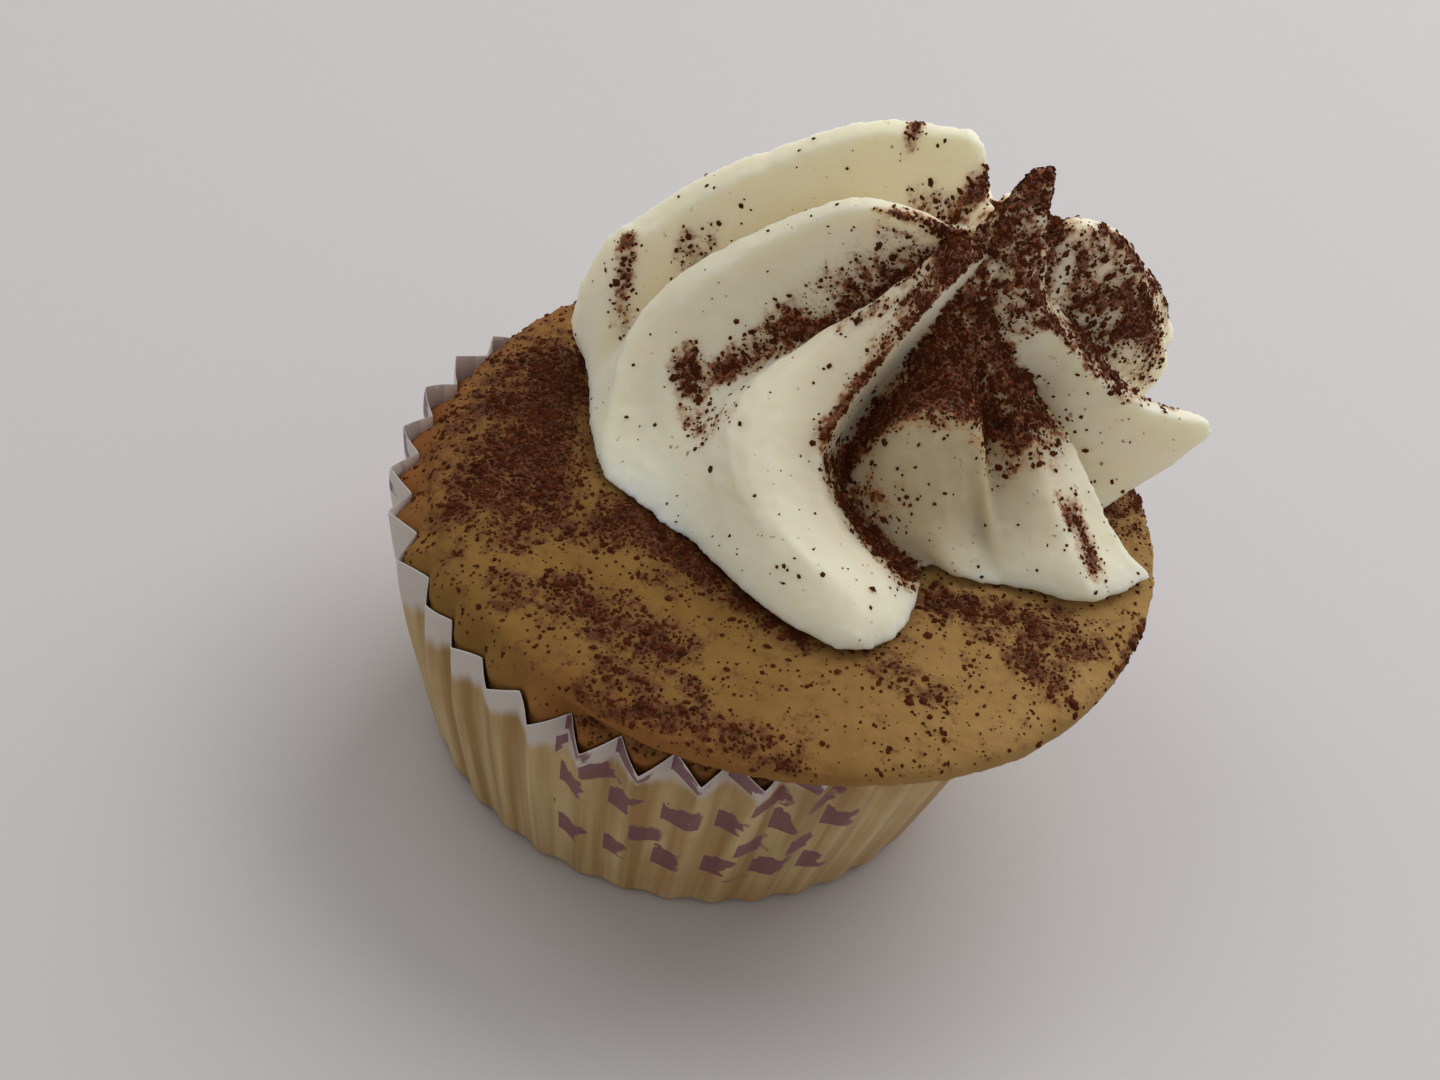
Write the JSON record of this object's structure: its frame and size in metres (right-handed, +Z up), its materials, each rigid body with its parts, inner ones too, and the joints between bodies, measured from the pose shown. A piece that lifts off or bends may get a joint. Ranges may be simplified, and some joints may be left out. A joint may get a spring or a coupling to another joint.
{
  "type": "cupcake",
  "caption": "Cupcake in a pleated paper case, topped with a leaning piped swirl of whipped cream with deep folds and a pulled peak.",
  "frame": {"origin": "centre of the underside of the paper case, which stands on z = 0", "axes": "+Z up, out of the cup; -Y towards the side with the low wide ridge; the top has run over the rim at +X"},
  "size_m": [0.0762, 0.0704, 0.0659],
  "materials": {
    "baking_paper": "satin greaseproof paper with a small mauve check",
    "sponge": "baked golden sponge, matt, with fine crumb",
    "whipped_cream": "soft sheen, piped",
    "cocoa": "matt cocoa powder"
  },
  "bodies": {
    "root": {"paper_case": "baking_paper", "cake": "sponge", "cream": "whipped_cream"}
  },
  "joints": []
}
